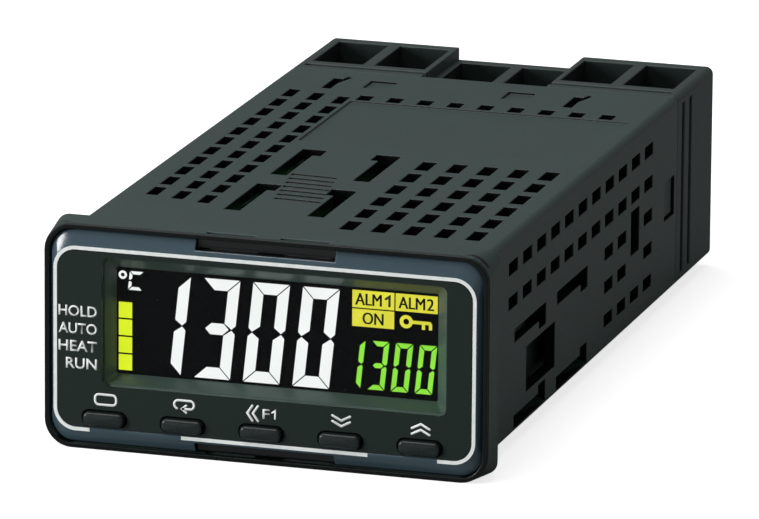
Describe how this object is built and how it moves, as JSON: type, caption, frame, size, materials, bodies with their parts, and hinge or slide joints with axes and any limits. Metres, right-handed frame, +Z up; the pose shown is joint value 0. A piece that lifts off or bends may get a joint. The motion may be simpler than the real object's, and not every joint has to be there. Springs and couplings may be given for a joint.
{
  "type": "temperature_controller",
  "caption": "Slim panel-mounted digital temperature controller: lit numeric display and row of keys in a bevelled front, vented case, rear screw terminals.",
  "frame": {"origin": "centre of the panel opening, on the flange face that seats against the panel", "axes": "+X to the right seen from the front, +Y from the front to the rear, +Z up"},
  "size_m": [0.048, 0.0952, 0.024],
  "materials": {
    "case_plastic": "dark grey moulded plastic, fine matt grain",
    "block_plastic": "dark grey moulded plastic, matt",
    "bezel_plastic": "glossy dark slate plastic",
    "sheet_print": "matt black print",
    "silver_print": "silver-white print",
    "clear_window": "clear, smooth",
    "frame_plastic": "grey plastic, satin",
    "display_black": "black display glass",
    "lit_white": "lit white",
    "lit_green": "lit green",
    "lit_lime": "lit yellow-green",
    "lit_yellow": "lit yellow",
    "diffuser": "milky acrylic",
    "led_white": "white package",
    "strip_rubber": "striped silicone rubber",
    "board_green": "green solder mask",
    "key_plastic": "dark plastic, satin",
    "switch_metal": "plated steel",
    "seal_rubber": "black silicone rubber",
    "carrier_plastic": "black plastic",
    "header_plastic": "black plastic",
    "gold": "gold plated",
    "brass_plated": "nickel-plated brass",
    "screw_steel": "zinc-plated steel",
    "ferrite": "dark grey ferrite",
    "coil_tape": "yellow tape over copper wire",
    "can_sleeve": "dark sleeve",
    "relay_case": "blue case",
    "film_case": "yellow case",
    "disc_coating": "blue epoxy coating",
    "chip_black": "black moulding",
    "can_metal": "bright metal can"
  },
  "bodies": {
    "case": {"rear_case": "case_plastic", "terminal_block": "block_plastic", "terminal_plates": "brass_plated", "terminal_screws": "screw_steel", "terminal_washers": "screw_steel"},
    "front_unit": {"backlights": "led_white", "bezel_seal": "seal_rubber", "board_frame": "carrier_plastic", "board_headers": "header_plastic", "board_pads": "gold", "contact_strip": "strip_rubber", "control_board": "board_green", "crystal_can": "can_metal", "display_board": "board_green", "display_frame": "frame_plastic", "display_glass": "display_black", "filter_choke": "ferrite", "front_bezel": "bezel_plastic", "front_sheet": "sheet_print", "input_chips": "chip_black", "key_switches": "switch_metal", "light_guide": "diffuser", "main_digits": "lit_white", "main_processor": "chip_black", "optocouplers": "chip_black", "output_relay": "relay_case", "power_board": "board_green", "set_digits": "lit_green", "silver_line": "silver_print", "smoothing_capacitors": "can_sleeve", "status_bars": "lit_lime", "status_flags": "lit_yellow", "suppression_capacitor": "film_case", "surge_resistor": "disc_coating", "transformer_coil": "coil_tape", "transformer_core": "ferrite", "window_pane": "clear_window"},
    "key_level_body": {"key_level": "key_plastic"},
    "key_mode_body": {"key_mode": "key_plastic"},
    "key_shift_body": {"key_shift": "key_plastic"},
    "key_down_body": {"key_down": "key_plastic"},
    "key_up_body": {"key_up": "key_plastic"}
  },
  "joints": [
    {"name": "front_unit_draw_out", "type": "slide", "parent": "case", "child": "front_unit", "axis": [0, -1, 0], "range_m": [0, 0.078]},
    {"name": "key_level_press", "type": "slide", "parent": "front_unit", "child": "key_level_body", "axis": [0, 1, 0], "range_m": [0, 0.0003], "stiffness_N_per_m": 3000},
    {"name": "key_mode_press", "type": "slide", "parent": "front_unit", "child": "key_mode_body", "axis": [0, 1, 0], "range_m": [0, 0.0003], "stiffness_N_per_m": 3000},
    {"name": "key_shift_press", "type": "slide", "parent": "front_unit", "child": "key_shift_body", "axis": [0, 1, 0], "range_m": [0, 0.0003], "stiffness_N_per_m": 3000},
    {"name": "key_down_press", "type": "slide", "parent": "front_unit", "child": "key_down_body", "axis": [0, 1, 0], "range_m": [0, 0.0003], "stiffness_N_per_m": 3000},
    {"name": "key_up_press", "type": "slide", "parent": "front_unit", "child": "key_up_body", "axis": [0, 1, 0], "range_m": [0, 0.0003], "stiffness_N_per_m": 3000}
  ]
}
